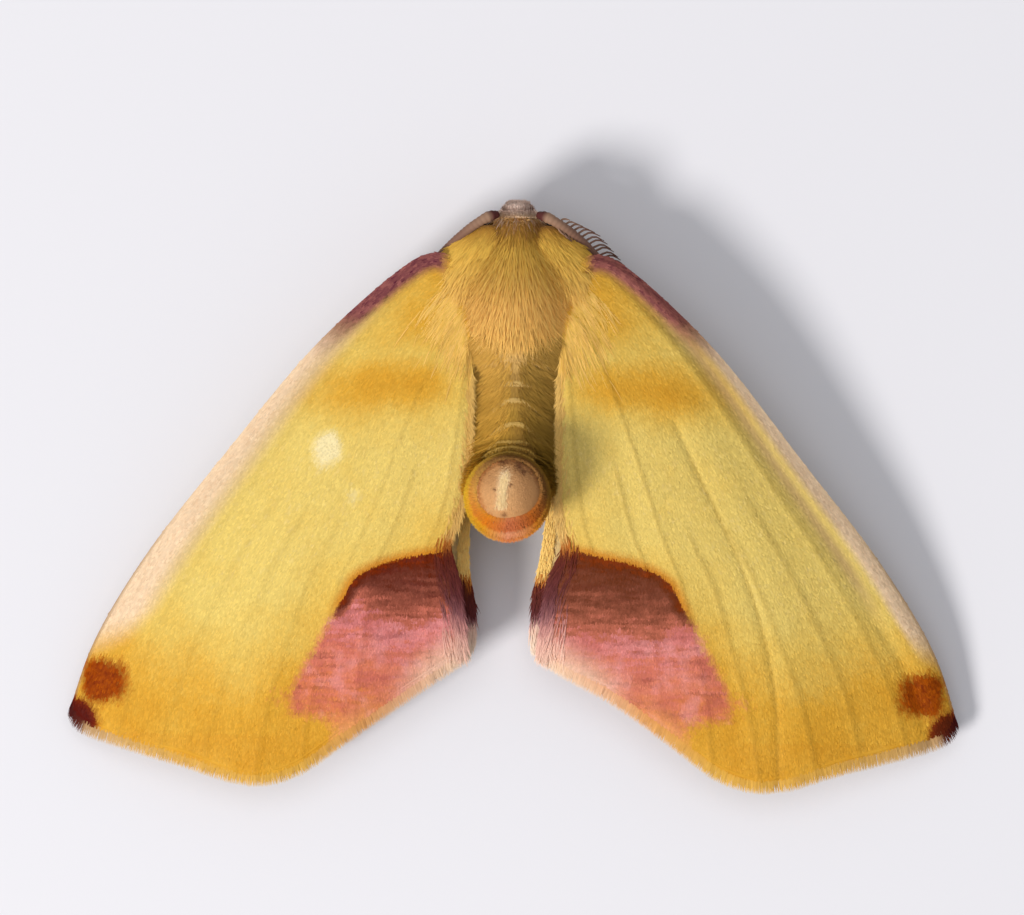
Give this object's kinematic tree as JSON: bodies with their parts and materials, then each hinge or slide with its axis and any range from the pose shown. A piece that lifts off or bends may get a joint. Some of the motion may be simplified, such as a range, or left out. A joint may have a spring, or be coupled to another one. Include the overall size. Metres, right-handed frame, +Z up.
{
  "type": "lemon plagodis moth",
  "caption": "Life-size moth at rest, wings spread flat to form a broad triangle, yellow with purple leading edges and wine-brown patches, abdomen curled up behind the thorax.",
  "frame": {"origin": "on the floor, under the middle of the moth's bounding box in plan", "axes": "+X the moth's right side (image right), +Y towards its head (image up), +Z up from the floor through its back"},
  "size_m": [0.0228, 0.0152, 0.0049],
  "materials": {
    "body_fur": "matte",
    "face_scales": "matte",
    "forewing_scales": "satin",
    "hindwing_scales": "satin",
    "eye_dark": "gloss",
    "antenna_brown": "matte",
    "leg_scales": "matte"
  },
  "bodies": {
    "root": {"thorax": "body_fur", "abdomen_base": "body_fur", "abdomen_middle": "body_fur", "abdomen_tip": "body_fur", "head": "face_scales", "palp_left": "face_scales", "palp_right": "face_scales", "forewing_left": "forewing_scales", "forewing_right": "forewing_scales", "hindwing_left": "hindwing_scales", "hindwing_right": "hindwing_scales", "eye_left": "eye_dark", "eye_right": "eye_dark", "antenna_left": "antenna_brown", "antenna_right": "antenna_brown", "fore_leg_left": "leg_scales", "fore_leg_right": "leg_scales", "mid_leg_left": "leg_scales", "mid_leg_right": "leg_scales", "hind_leg_left": "leg_scales", "hind_leg_right": "leg_scales"}
  },
  "joints": []
}
